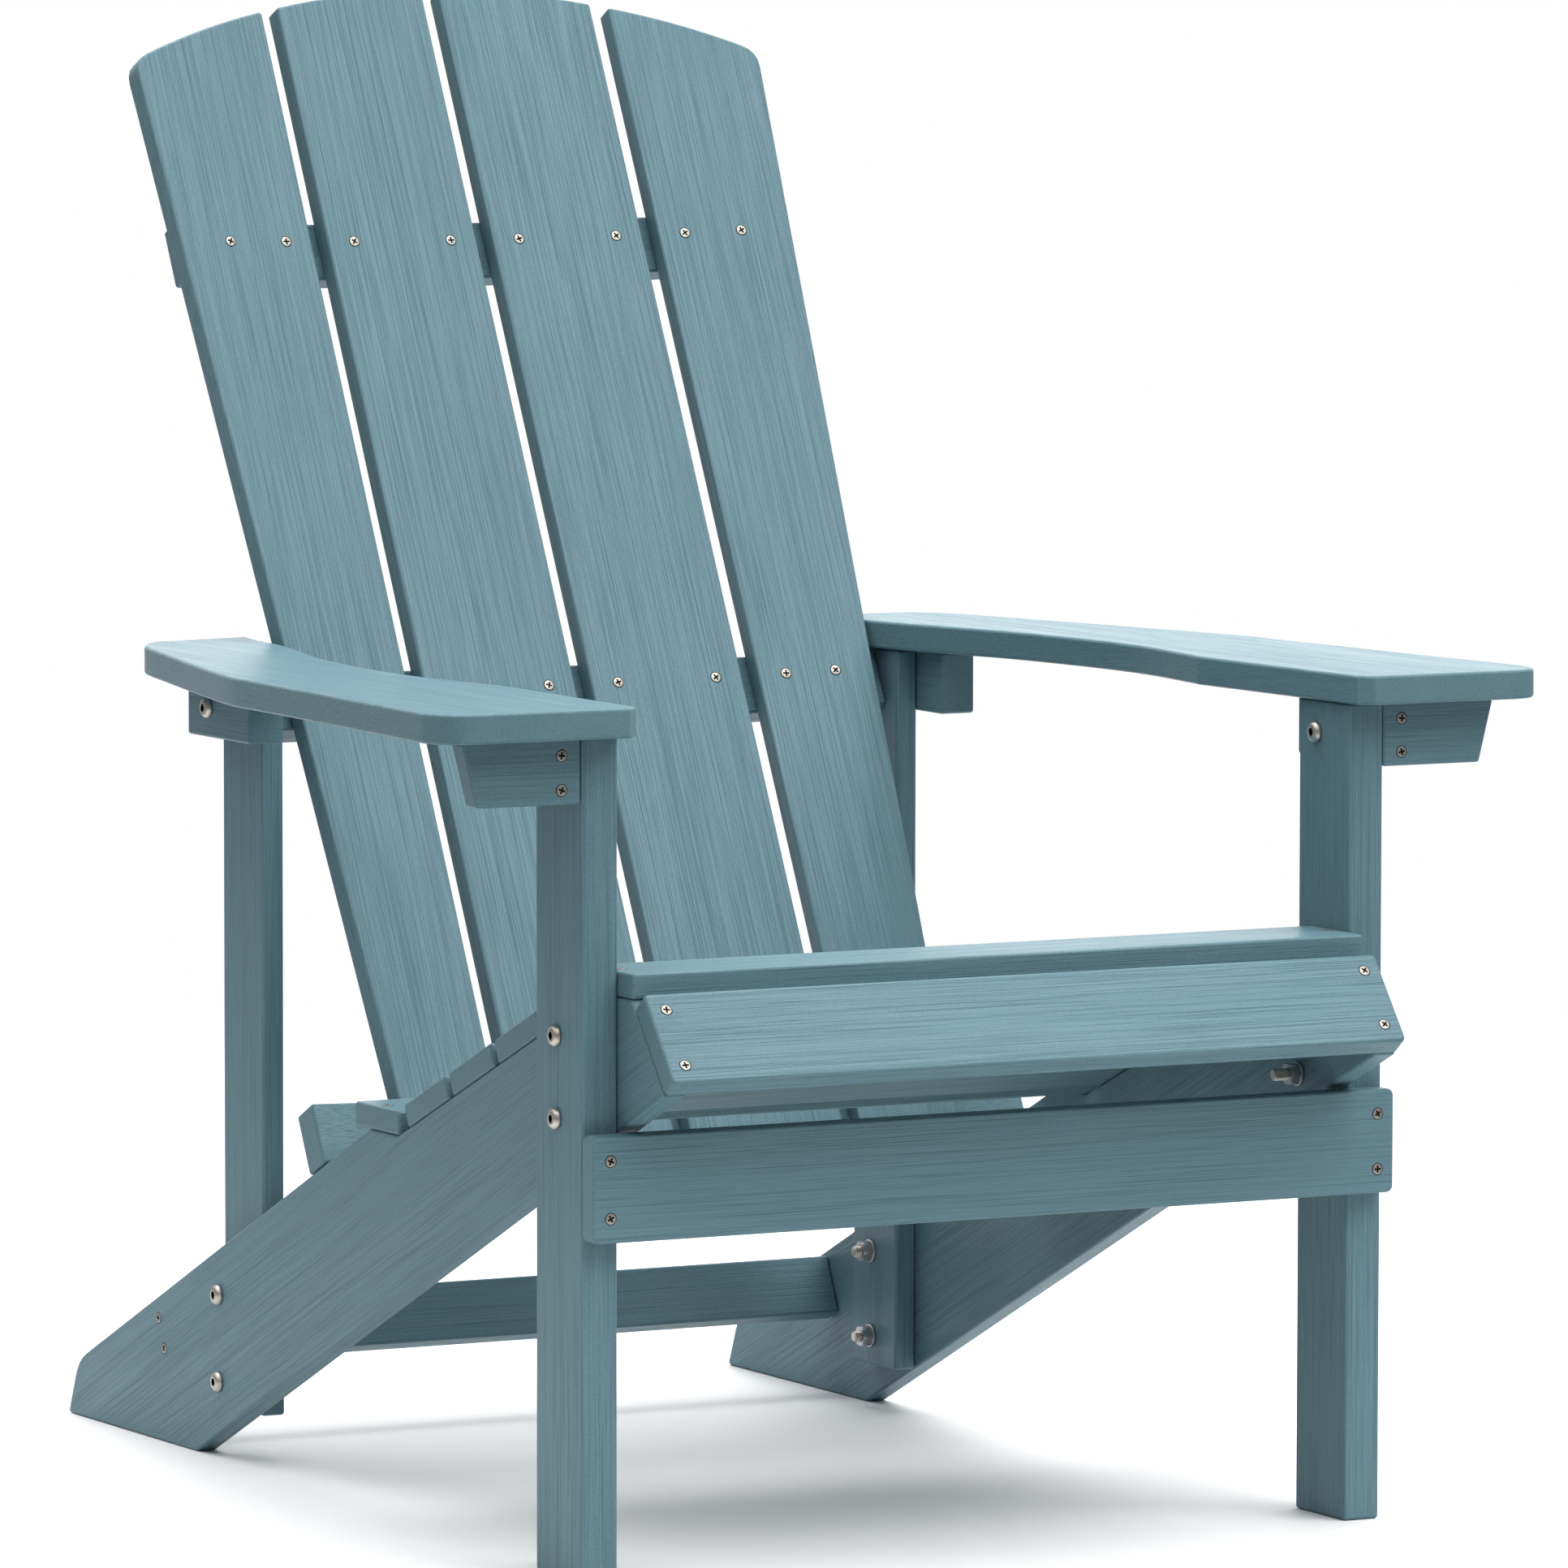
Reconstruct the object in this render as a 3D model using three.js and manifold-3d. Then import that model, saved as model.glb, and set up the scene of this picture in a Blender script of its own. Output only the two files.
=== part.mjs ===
// Adirondack chair in plastic lumber: an assembly of separate boards, bolts and nuts.
// Millimetres. +Z is up, the chair faces -Y, X is the width, z = 0 is the floor.
// y = 0 is the front face of the front legs. "l" pieces are on the -X side, "r" on +X.
import * as THREE from 'three';
import { mergeVertices } from 'three/addons/utils/BufferGeometryUtils.js';
import Module from 'manifold-3d';

// ---- stock sizes -------------------------------------------------------------
const GAP = 0.3;                 // clearance left between pieces that touch
const BOARD_T = 16;              // thickness of slats, stringers, posts, apron
const LEG_T = 25.5;              // thickness of legs and arm blocks
const ARM_T = 19;                // thickness of the arms
const BACK_SLAT_W = 113.8;       // width of a middle back slat
const STRINGER_W = 114;          // width of the stringer board
const BATTEN_W = 41.6;           // width of rails, cleat, stretcher and arm blocks
const EDGE_R = 2.5;              // rounding on the long edges of every board
const ARRIS = 1.5;               // small bevel on boards cut to an outline

// ---- overall layout -----------------------------------------------------------
const LEG_INNER_X = 264.5;       // half distance between the front legs
const LEG_D = 63.5;              // depth of a front leg
const LEG_H = 531;               // height of a front leg
const POST_D = 60.7;             // depth of a rear post
const POST_FOOT = 20.1;          // the rear posts end this far below their lower bolt

// ---- seat ---------------------------------------------------------------------
const STRINGER_SLOPE = 24.4;     // degrees the stringer falls towards the back
const STRINGER_HEEL_Y = 623;     // where the lower edge reaches the floor
const STRINGER_END_Y = 829.5;     // rear end of the floor cut
const STRINGER_END_LEAN = 22.7;  // degrees the rear end leans forward
const STRINGER_END_R = 13;       // rounding of the upper rear corner
const SEAT_SLOPE = 22.85;        // degrees the seat falls towards the back
const SEAT_BACK_Y = 314;         // rear end of the sloping seat
const SEAT_FLAT_END_Y = 355.55;  // the flat under the rearmost slat meets the stringer's top here
const REAR_SLAT_LAP = 2;         // the level rear slat starts this far before that flat
const SLAT_GAP = 5.8;            // space between sloping slats
const SLOPING_SLATS = 4;         // number of sloping slats
const SLAT_SETBACK = 17;         // from each end of the slope to the nearest sloping slat
const FRONT_FLAT_RISE = 120.8;   // height of the flat under the front slat above the rear flat
const FRONT_SLAT_CLEAR = 0.6;    // between the front slat and the slat behind it
const FASCIA_TILT = 38.4;        // degrees the fascia leans from upright
const FASCIA_W = 66;             // width of the fascia board
const FASCIA_BACK_Y = -62.3;     // lower back corner of the fascia
const APRON_H = 67.5;            // height of the apron
const STRETCHER_BEHIND = 65.3;   // centre of the rear stretcher, behind the posts
const STRETCHER_DROP = 27.19;    // below the stringer's upper edge there

// ---- back ---------------------------------------------------------------------
const BACK_TILT = 26.8;          // degrees the back leans from upright
const BACK_Y = 437;              // point on the front face, at the middle of the back
const BACK_RISE = 10.3;          // height of that point above the seat's rear flat
const BACK_LEN = 805;            // from that point up to the crown of the arc
const BACK_BELOW = 50;           // slats run on this far below that point
const BACK_BOW_R = 3000;         // the slats stand on rails hollowed to this radius
const BACK_GAP = 12.4;           // space between back slats
const BACK_ARC_R = 555;          // radius of the arc across the slat tops
const BACK_FOOT_X = 206.7;       // half width of the back at that point
const BACK_FLARE = 0.0428;       // half width gained per millimetre upwards
const TOP_CORNER_R = 12;         // rounding of the two outer top corners
const CLEAT_S = 595;             // height along the slats of the upper cleat
const CLEAT_INSET = 4.17;        // its ends stop this far inside the edges of the back

// ---- arms ---------------------------------------------------------------------
const ARM_FRONT_Y = -25.5;       // front edge of the arms
const ARM_REAR_OVER = 33.3;      // the arms run on this far behind the rear posts
const ARM_FALL = 0.0062;         // drop per millimetre towards the back
const ARM_CORNER_R = 26;         // outer front corner
const ARM_CHAMFER = 9;           // inner front corner
// stations [share of the arm length, distance outside (+) the leg's inner face]
const ARM_OUTER = [
  [0.079, 134], [0.28, 123.5], [0.45, 116], [0.53, 112], [0.66, 92.5], [0.82, 66], [0.92, 49],
  [0.958, 37.5],
]; 
const ARM_INNER = [[0.606, 0], [0.51, 4.5], [0.425, 2.7], [0.306, -8.7]];
// rear stations [share of the arm length, share of the way from there in to the back's edge]
const ARM_INNER_REAR = [[0.94, -1], [0.88, -0.911], [0.785, -0.552], [0.7, -0.209]];
const ARM_BACK_CLEAR = 3.84;     // between the arms and the outer edge of the back
const ARM_FRONT_OUT = 135.5;     // outer edge at the front, from the leg's inner face
const ARM_FRONT_IN = -4.4;       // inner edge at the front
const ARM_REAR_SHARE = 0.981;    // where the slanting rear edge starts
const ARM_REAR_OUT = 25.3;       // rear edge, outer end
const ARM_REAR_IN = -1.199;      // rear edge, inner end, as a share of the way to the back
const BLOCK_LEAD = 34.5;         // the rear arm blocks start this far before the posts
const FRONT_BLOCK_TAIL = 45.5;   // the front arm blocks end this far behind the legs
const BRACKET_L = 82.8;          // length of a front bracket at its top
const BRACKET_CUT = 10.5;        // how much shorter the bracket is at its foot

// ---- hardware -----------------------------------------------------------------
const BOLT_R = 4;
const HEAD_R = 7;
const HEAD_H = 4.2;
const SOCKET_AF = 5;             // hexagon socket, across flats
const SOCKET_DEPTH = 2.6;
const NUT_AF = 13;
const NUT_H = 6.8;
const WASHER_R = 8;
const WASHER_T = 1.6;
const HOLE_R = BOLT_R + GAP;
const BOW_STEPS = 10;            // straight steps along a hollowed rail
const ROUND_SIDES = 18;          // flats around bolts, washers and holes
const LEG_BOLT_Y = 34.5;         // from the front of the legs
const LEG_BOLT_EDGE = [22.04, 22.98];   // above the stringer's lower edge, below its upper edge
const POST_BOLT_IN = 35;         // behind the front face of the posts
const POST_BOLT_EDGE = [34.82, 31.56];  // above the stringer's lower edge, below its upper edge
const TOP_BOLT_Y = 41.5;         // bolt into the front arm block
const TOP_BOLT_DROP = 21.2;      // and how far it is below the top of the leg
const MID_BOLT_IN = 28.43;       // bolt into the mid rail, behind the front face of the posts
const MID_BOLT_DROP = 21.83;     // and how far it is below the arm
const MID_BOLT_INSET = 7;        // and behind the front face of the rail's end
const MID_BOLT_DEPTH = 38;        // how far that bolt runs into the rail

// ---- values that follow from the sizes above -----------------------------------
const rad = THREE.MathUtils.degToRad;
const LEG_OUTER_X = LEG_INNER_X + LEG_T;
const STRINGER_X = LEG_INNER_X - GAP;              // outer face of the stringers
const STRINGER_IN_X = STRINGER_X - BOARD_T;
const POST_X = STRINGER_IN_X - GAP;                // outer face of the posts
const POST_IN_X = POST_X - BOARD_T;
const SLAT_HALF = STRINGER_X;                      // seat slats end at the stringers
const ARM_SLOPE = Math.atan(ARM_FALL);
const tanStringer = Math.tan(rad(STRINGER_SLOPE));
const tanSeat = Math.tan(rad(SEAT_SLOPE));
const tilt = rad(BACK_TILT);

/** Height of the underside of the arm above the floor at depth y. */
const armUnder = (y) => LEG_H + GAP - ARM_FALL * (y - ARM_FRONT_Y);
/** Lower and upper edge of the stringer board at depth y. */
const stringerLow = (y) => (STRINGER_HEEL_Y - y) * tanStringer;
const stringerTop = (y) => stringerLow(y) + STRINGER_W / Math.cos(rad(STRINGER_SLOPE));

const SEAT_BACK_Z = stringerTop(SEAT_FLAT_END_Y);
const FRONT_FLAT_Z = SEAT_BACK_Z + FRONT_FLAT_RISE;
const FRONT_FLAT_END_Y = SEAT_BACK_Y - FRONT_FLAT_RISE / tanSeat;
const BACK_Z = SEAT_BACK_Z + BACK_RISE;
/** Height at depth y of the stringer's upper edge where the sloping seat is cut from it. */
const seatLine = (y) => FRONT_FLAT_Z - (y - FRONT_FLAT_END_Y) * tanSeat;

/** Point (y, z) at `off` behind the face of the back and `s` up along it. */
const backPoint = (off, s) => [
  BACK_Y + off * Math.cos(tilt) + s * Math.sin(tilt),
  BACK_Z - off * Math.sin(tilt) + s * Math.cos(tilt),
];
/** How far the hollow back stands forward of its middle at a distance x from it. */
const bow = (x) => x * x / (2 * BACK_BOW_R);

const arcTop = (x) => BACK_LEN - BACK_ARC_R + Math.sqrt(BACK_ARC_R ** 2 - x ** 2);
const backEdge = (s) => BACK_FOOT_X + BACK_FLARE * s;
/** Where the flared outer edge of the back meets the arc. */
const outerTopX = () => {
  let x = backEdge(BACK_LEN);
  for (let i = 0; i < 20; i += 1) x = backEdge(arcTop(x));
  return x;
};
const inner = [BACK_GAP / 2, BACK_GAP / 2 + BACK_SLAT_W];
const outerStart = inner[1] + BACK_GAP;
const widestSlat = Math.max(BACK_SLAT_W, outerTopX() - outerStart);
/** Front of the rails in the back's own frame: behind flat slats that touch the hollow. */
const railFront = (x) => bow(x) - bow(widestSlat / 2) - BOARD_T - GAP;

// The bolt into the end of the mid rail is a set distance below the arm, and the rail follows.
const midHalf = POST_IN_X - GAP;
const midBoltOff = MID_BOLT_INSET - railFront(midHalf);
const [offY, offZ] = backPoint(midBoltOff, 0);
const midBoltS = (armUnder(offY) - MID_BOLT_DROP - offZ)
  / (Math.cos(tilt) + ARM_FALL * Math.sin(tilt));
const BLOCK_BOLT = backPoint(midBoltOff, midBoltS);
const POST_Y = BLOCK_BOLT[0] - MID_BOLT_IN;
const POST_BOLT_Y = POST_Y + POST_BOLT_IN;
const POST_BOLT_Z = [
  stringerLow(POST_BOLT_Y) + POST_BOLT_EDGE[0],
  stringerTop(POST_BOLT_Y) - POST_BOLT_EDGE[1],
];
const LEG_BOLT_Z = [
  stringerLow(LEG_BOLT_Y) + LEG_BOLT_EDGE[0],
  seatLine(LEG_BOLT_Y) - LEG_BOLT_EDGE[1],
];
const TOP_BOLT = [TOP_BOLT_Y, LEG_H - TOP_BOLT_DROP];
const STRETCHER_Y = POST_Y + POST_D + STRETCHER_BEHIND;
const BLOCK_Y = POST_Y - BLOCK_LEAD;
const armToBack = LEG_INNER_X - backEdge(midBoltS) - ARM_BACK_CLEAR;
const ARM_LEN = POST_Y + POST_D + ARM_REAR_OVER - ARM_FRONT_Y;
const BACK_BLOCK_BOTTOM = armUnder(POST_Y) - GAP - BATTEN_W;
const FRONT_BLOCK_BOTTOM = LEG_H - BATTEN_W;

const LUMBER = 0x6f8f98;
const STEEL = 0xc4c6c8;
const lumber = () => new THREE.MeshStandardMaterial({ color: LUMBER, roughness: 0.6, metalness: 0 });
const steel = () => new THREE.MeshStandardMaterial({ color: STEEL, roughness: 0.3, metalness: 1 });

const chair = new THREE.Group();
chair.name = 'adirondack_chair';

/** Adds one named piece. */
function add(name, geometry, material, parent = chair) {
  const mesh = new THREE.Mesh(geometry, material);
  mesh.name = name;
  parent.add(mesh);
  return mesh;
}

/** Closed outline through points [a, b, radius]; a corner with a radius is rounded. */
function outline(points) {
  const shape = new THREE.Shape();
  points.forEach(([a, b, r = 0], i) => {
    const corner = new THREE.Vector2(a, b);
    const before = new THREE.Vector2(...points[(i + points.length - 1) % points.length]);
    const after = new THREE.Vector2(...points[(i + 1) % points.length]);
    const start = before.sub(corner).setLength(r).add(corner);
    const end = after.sub(corner).setLength(r).add(corner);
    if (i === 0) shape.moveTo(start.x, start.y);
    else shape.lineTo(start.x, start.y);
    if (r > 0) shape.quadraticCurveTo(corner.x, corner.y, end.x, end.y);
  });
  shape.closePath();
  return shape;
}

/** Round hole centred on [a, b], its flats no closer than HOLE_R to the centre. */
function hole([a, b]) {
  const r = HOLE_R / Math.cos(Math.PI / ROUND_SIDES);
  const corners = Array.from({ length: ROUND_SIDES }, (_, i) => {
    const turn = -2 * Math.PI * i / ROUND_SIDES;
    return new THREE.Vector2(a + r * Math.cos(turn), b + r * Math.sin(turn));
  });
  return new THREE.Path(corners);
}

/** Slab of a given thickness with its two faces' edges bevelled, starting at height 0. */
function slab(shape, thickness, bevel = ARRIS, curveSegments = 4) {
  const geometry = new THREE.ExtrudeGeometry(shape, {
    depth: thickness - 2 * bevel,
    bevelEnabled: true,
    bevelThickness: bevel,
    bevelSize: bevel,
    bevelOffset: -bevel,
    bevelSegments: 1,
    curveSegments,
  });
  return geometry.translate(0, 0, bevel);
}

/** Turns a slab drawn as (y, z) so that its thickness runs along +X. */
function turnToSide(geometry) {
  const axes = new THREE.Matrix4().makeBasis(
    new THREE.Vector3(0, 1, 0),
    new THREE.Vector3(0, 0, 1),
    new THREE.Vector3(1, 0, 0),
  );
  return geometry.applyMatrix4(axes);
}

/** Side board: outline in (y, z), inner face at x = innerX on the side given by sign. */
function sideBoard(name, sign, innerX, thickness, points, holes = []) {
  const shape = outline(points);
  shape.holes.push(...holes.map(hole));
  const mesh = add(name, turnToSide(slab(shape, thickness)), lumber());
  mesh.position.x = sign > 0 ? innerX : -innerX - thickness;
  return mesh;
}

/** Board running across the chair: rounded section in (y, z), half length along X. */
function crossBoard(name, width, thickness, halfLength, parent = chair) {
  const w = width / 2;
  const t = thickness / 2;
  const section = outline([[-w, -t, EDGE_R], [w, -t, EDGE_R], [w, t, EDGE_R], [-w, t, EDGE_R]]);
  const geometry = turnToSide(slab(section, 2 * halfLength, 1));
  geometry.translate(-halfLength, 0, 0);
  return add(name, geometry, lumber(), parent);
}

// ---- cutting and joining ----------------------------------------------------------------
const wasm = await Module();
wasm.setup();

/** Solid for cutting and joining, from a closed three.js geometry. */
function toSolid(source) {
  const bare = source.clone();
  bare.deleteAttribute('normal');
  bare.deleteAttribute('uv');
  const merged = mergeVertices(bare, 1e-4);
  return new wasm.Manifold(new wasm.Mesh({
    numProp: 3,
    vertProperties: Float32Array.from(merged.attributes.position.array),
    triVerts: Uint32Array.from(merged.index.array),
  }));
}

/** three.js geometry from a solid. */
function toGeometry(solid) {
  const mesh = solid.getMesh();
  const geometry = new THREE.BufferGeometry();
  geometry.setAttribute('position', new THREE.BufferAttribute(mesh.vertProperties, 3));
  geometry.setIndex(new THREE.BufferAttribute(mesh.triVerts, 1));
  geometry.computeVertexNormals();
  return geometry;
}

/** Upright prism or cylinder from z0 to z1. */
function pillar(radius, z0, z1, sides = ROUND_SIDES) {
  const geometry = new THREE.CylinderGeometry(radius, radius, z1 - z0, sides);
  return geometry.rotateX(Math.PI / 2).translate(0, 0, (z0 + z1) / 2);
}

/** Rectangle with a sloping top: corners in (y, z). */
const uprightOutline = (y0, y1, bottom, top) => [
  [y0, bottom], [y1, bottom], [y1, top(y1)], [y0, top(y0)],
];

// ---- outlines shared by both sides ----------------------------------------------
const fasciaLean = rad(FASCIA_TILT);
const noseZ = stringerLow(FASCIA_BACK_Y);
const noseTopY = FASCIA_BACK_Y + (FRONT_FLAT_Z - noseZ) * Math.tan(fasciaLean);
const tanEnd = Math.tan(rad(STRINGER_END_LEAN));
const heelZ = stringerTop(STRINGER_END_Y) / (1 - tanStringer * tanEnd);
const heelY = STRINGER_END_Y - heelZ * tanEnd;

const endWall = Math.hypot(heelY - STRINGER_END_Y, heelZ);
const stringerPoints = [
  [STRINGER_HEEL_Y, 0],
  [STRINGER_END_Y, 0],
  [heelY, heelZ, Math.min(STRINGER_END_R, endWall / 2)],
  [SEAT_FLAT_END_Y, SEAT_BACK_Z],
  [SEAT_BACK_Y, SEAT_BACK_Z],
  [FRONT_FLAT_END_Y, FRONT_FLAT_Z],
  [noseTopY, FRONT_FLAT_Z],
  [FASCIA_BACK_Y, noseZ],
];
const legHoles = LEG_BOLT_Z.map((z) => [LEG_BOLT_Y, z]);
const postHoles = POST_BOLT_Z.map((z) => [POST_BOLT_Y, z]);

/** Plan outline of an arm on the side given by sign. */
function armShape(sign) {
  const at = ([share, out]) => [sign * (LEG_INNER_X + out), ARM_FRONT_Y + share * ARM_LEN];
  const points = (list) => list.map((station) => new THREE.Vector2(...at(station)));
  const r = ARM_CORNER_R;
  const frontOut = sign * (LEG_INNER_X + ARM_FRONT_OUT);
  const frontIn = sign * (LEG_INNER_X + ARM_FRONT_IN);
  const shape = new THREE.Shape();
  shape.moveTo(frontIn + sign * ARM_CHAMFER, ARM_FRONT_Y);
  shape.lineTo(frontOut - sign * r, ARM_FRONT_Y);
  shape.quadraticCurveTo(frontOut - sign * 0.2 * r, ARM_FRONT_Y, frontOut, ARM_FRONT_Y + r);
  shape.splineThru(points(ARM_OUTER));
  shape.lineTo(...at([ARM_REAR_SHARE, ARM_REAR_OUT]));
  shape.lineTo(...at([1, ARM_REAR_IN * armToBack]));
  const innerStations = [
    ...ARM_INNER_REAR.map(([share, reach]) => [share, reach * armToBack]),
    ...ARM_INNER,
  ];
  shape.lineTo(...at(innerStations[0]));
  shape.splineThru(points(innerStations.slice(1)));
  shape.lineTo(frontIn, ARM_FRONT_Y + ARM_CHAMFER);
  shape.closePath();
  return shape;
}

// ---- side boards ------------------------------------------------------------------
const SIDES = { l: -1, r: 1 };
for (const [side, sign] of Object.entries(SIDES)) {
  sideBoard(`front_leg_${side}`, sign, LEG_INNER_X, LEG_T,
    uprightOutline(0, LEG_D, 0, (y) => armUnder(y) - GAP), [...legHoles, TOP_BOLT]);
  sideBoard(`stringer_${side}`, sign, STRINGER_IN_X, BOARD_T,
    stringerPoints, [...legHoles, ...postHoles]);
  sideBoard(`rear_post_${side}`, sign, POST_IN_X, BOARD_T,
    uprightOutline(POST_Y, POST_Y + POST_D, POST_BOLT_Z[0] - POST_FOOT, (y) => armUnder(y) - GAP),
    [...postHoles, BLOCK_BOLT]);
  sideBoard(`rear_arm_block_${side}`, sign, POST_X + GAP, LEG_T,
    uprightOutline(BLOCK_Y, POST_Y + POST_D, BACK_BLOCK_BOTTOM, (y) => armUnder(y) - GAP),
    [BLOCK_BOLT]);
  sideBoard(`front_arm_block_${side}`, sign, LEG_OUTER_X + GAP, LEG_T,
    uprightOutline(BOARD_T + GAP, LEG_D + FRONT_BLOCK_TAIL, FRONT_BLOCK_BOTTOM,
      (y) => armUnder(y) - GAP), [TOP_BOLT]);

  const arm = add(`arm_${side}`, slab(armShape(sign), ARM_T, 2, 10), lumber());
  arm.rotation.x = -ARM_SLOPE;
  arm.position.set(0, 0, armUnder(0) + GAP);

  const top = armUnder(BOARD_T) - GAP;
  const bracket = outline([
    [sign * (LEG_OUTER_X + GAP), FRONT_BLOCK_BOTTOM],
    [sign * (LEG_OUTER_X + GAP + BRACKET_L - BRACKET_CUT), FRONT_BLOCK_BOTTOM],
    [sign * (LEG_OUTER_X + GAP + BRACKET_L), top],
    [sign * (LEG_OUTER_X + GAP), top],
  ]);
  const bracketMesh = add(`arm_bracket_${side}`, slab(bracket, BOARD_T), lumber());
  bracketMesh.rotation.x = Math.PI / 2;
  bracketMesh.position.y = BOARD_T;
}

// ---- seat --------------------------------------------------------------------------
const slatLift = BOARD_T / 2 + GAP;
const seatRun = (SEAT_BACK_Y - FRONT_FLAT_END_Y) / Math.cos(rad(SEAT_SLOPE));
const slatRun = seatRun - 2 * SLAT_SETBACK;
const slatW = (slatRun - (SLOPING_SLATS - 1) * SLAT_GAP) / SLOPING_SLATS;

const rearSlat = crossBoard('seat_slat_1', slatW, BOARD_T, SLAT_HALF);
rearSlat.position.set(0, SEAT_BACK_Y - REAR_SLAT_LAP + slatW / 2, SEAT_BACK_Z + slatLift);

const seat = new THREE.Group();
seat.name = 'sloping_seat';
seat.position.set(0, SEAT_BACK_Y, SEAT_BACK_Z);
seat.rotation.x = -rad(SEAT_SLOPE);
chair.add(seat);
for (let i = 0; i < SLOPING_SLATS; i += 1) {
  const slat = crossBoard(`seat_slat_${i + 2}`, slatW, BOARD_T, SLAT_HALF, seat);
  slat.position.set(0, -SLAT_SETBACK - i * (slatW + SLAT_GAP) - slatW / 2, slatLift);
}

// The front slat lies flat and ends just clear of the leaning edge of the slat behind it.
const slopeEnd = seatRun - SLAT_SETBACK;
const slopeEndY = SEAT_BACK_Y - slopeEnd * Math.cos(rad(SEAT_SLOPE));
const slopeEndZ = SEAT_BACK_Z + slopeEnd * Math.sin(rad(SEAT_SLOPE));
const frontSlatEndY = slopeEndY + (FRONT_FLAT_Z - slopeEndZ) * tanSeat - FRONT_SLAT_CLEAR;
const frontSlat = crossBoard(`seat_slat_${SLOPING_SLATS + 2}`, slatW, BOARD_T, SLAT_HALF);
frontSlat.position.set(0, frontSlatEndY - slatW / 2, FRONT_FLAT_Z + slatLift);

const fascia = crossBoard('fascia', FASCIA_W, BOARD_T, SLAT_HALF);
fascia.rotation.x = Math.PI / 2 - fasciaLean;
fascia.position.set(0,
  FASCIA_BACK_Y + FASCIA_W / 2 * Math.sin(fasciaLean) - slatLift * Math.cos(fasciaLean),
  noseZ + FASCIA_W / 2 * Math.cos(fasciaLean) + slatLift * Math.sin(fasciaLean));

const apron = crossBoard('apron', APRON_H, BOARD_T, LEG_OUTER_X);
apron.rotation.x = Math.PI / 2;
apron.position.set(0, -slatLift, stringerLow(0) - GAP - APRON_H / 2);

const stretcher = crossBoard('rear_stretcher', BATTEN_W, BOARD_T, STRINGER_IN_X - GAP);
stretcher.rotation.x = Math.PI / 2 - rad(STRINGER_SLOPE);
stretcher.position.set(0, STRETCHER_Y, stringerTop(STRETCHER_Y) - STRETCHER_DROP);

// ---- back ----------------------------------------------------------------------------
// In the back's own frame x is the width, y runs up the slats and z = 0 is their front face.
const back = new THREE.Group();
back.name = 'back';
back.position.set(0, BACK_Y, BACK_Z);
back.rotation.x = Math.PI / 2 - tilt;
chair.add(back);

/** Points along the arc across the tops from x0 to x1. */
function arcPoints(x0, x1, steps = 8) {
  return Array.from({ length: steps + 1 }, (_, i) => {
    const x = x0 + (x1 - x0) * i / steps;
    return [x, arcTop(x)];
  });
}

const middleSlat = (sign) => [
  [sign * inner[0], -BACK_BELOW],
  [sign * inner[1], -BACK_BELOW],
  ...arcPoints(sign * inner[1], sign * inner[0]),
];
const outerSlat = (sign) => {
  const tip = outerTopX();
  return [
    [sign * outerStart, -BACK_BELOW],
    [sign * backEdge(-BACK_BELOW), -BACK_BELOW],
    [sign * tip, arcTop(tip), TOP_CORNER_R],
    ...arcPoints(sign * (tip - 1.5 * TOP_CORNER_R), sign * outerStart),
  ];
};
const backSlats = [outerSlat(-1), middleSlat(-1), middleSlat(1), outerSlat(1)];
backSlats.forEach((points, i) => {
  const xs = points.map(([x]) => x);
  const middle = (Math.min(...xs) + Math.max(...xs)) / 2;
  const geometry = slab(outline(points), BOARD_T).translate(-middle, 0, -BOARD_T);
  const slat = add(`back_slat_${i + 1}`, geometry, lumber(), back);
  slat.position.set(middle, 0, bow(middle));
  slat.rotation.y = -Math.atan(middle / BACK_BOW_R);
});

/** Batten behind the slats, from height s upwards, its front hollowed to match them. */
function batten(name, s, halfLength, rear) {
  const stations = Array.from({ length: BOW_STEPS + 1 }, (_, i) => (2 * i / BOW_STEPS - 1) * halfLength);
  const front = stations.map((x) => [x, railFront(x)]);
  const behind = rear === undefined
    ? stations.map((x) => [x, railFront(x) - BOARD_T]).reverse()
    : [[halfLength, rear], [-halfLength, rear]];
  const shape = outline([...front, ...behind]);
  const geometry = slab(shape, BATTEN_W).rotateX(Math.PI / 2).translate(0, s + BATTEN_W, 0);
  return add(name, geometry, lumber(), back);
}

batten('upper_back_cleat', CLEAT_S, backEdge(CLEAT_S) - CLEAT_INSET);

const midRail = batten(
  'mid_back_rail', midBoltS - BATTEN_W / 2, midHalf, railFront(midHalf) - LEG_T,
);
for (const sign of Object.values(SIDES)) {
  const drill = pillar(HOLE_R, midHalf - MID_BOLT_DEPTH - GAP, midHalf + 1);
  drill.rotateY(sign * Math.PI / 2);
  drill.translate(0, midBoltS, -midBoltOff);
  midRail.geometry = toGeometry(toSolid(midRail.geometry).subtract(toSolid(drill)));
}

/** Height along the slats at which depth `off` behind their face meets the stringers. */
function railFoot(off) {
  const [y, z] = backPoint(off, 0);
  const rise = Math.cos(tilt) + Math.sin(tilt) * tanStringer;
  return (stringerTop(y) + GAP / Math.cos(rad(STRINGER_SLOPE)) - z) / rise;
}
const lowerFront = -railFront(SLAT_HALF);
const lowerBack = lowerFront + LEG_T;
batten('lower_back_rail', Math.max(railFoot(lowerFront), railFoot(lowerBack)), SLAT_HALF, -lowerBack);

// ---- bolts and nuts -------------------------------------------------------------------
const acrossFlats = (af) => af / Math.sqrt(3);

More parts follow.
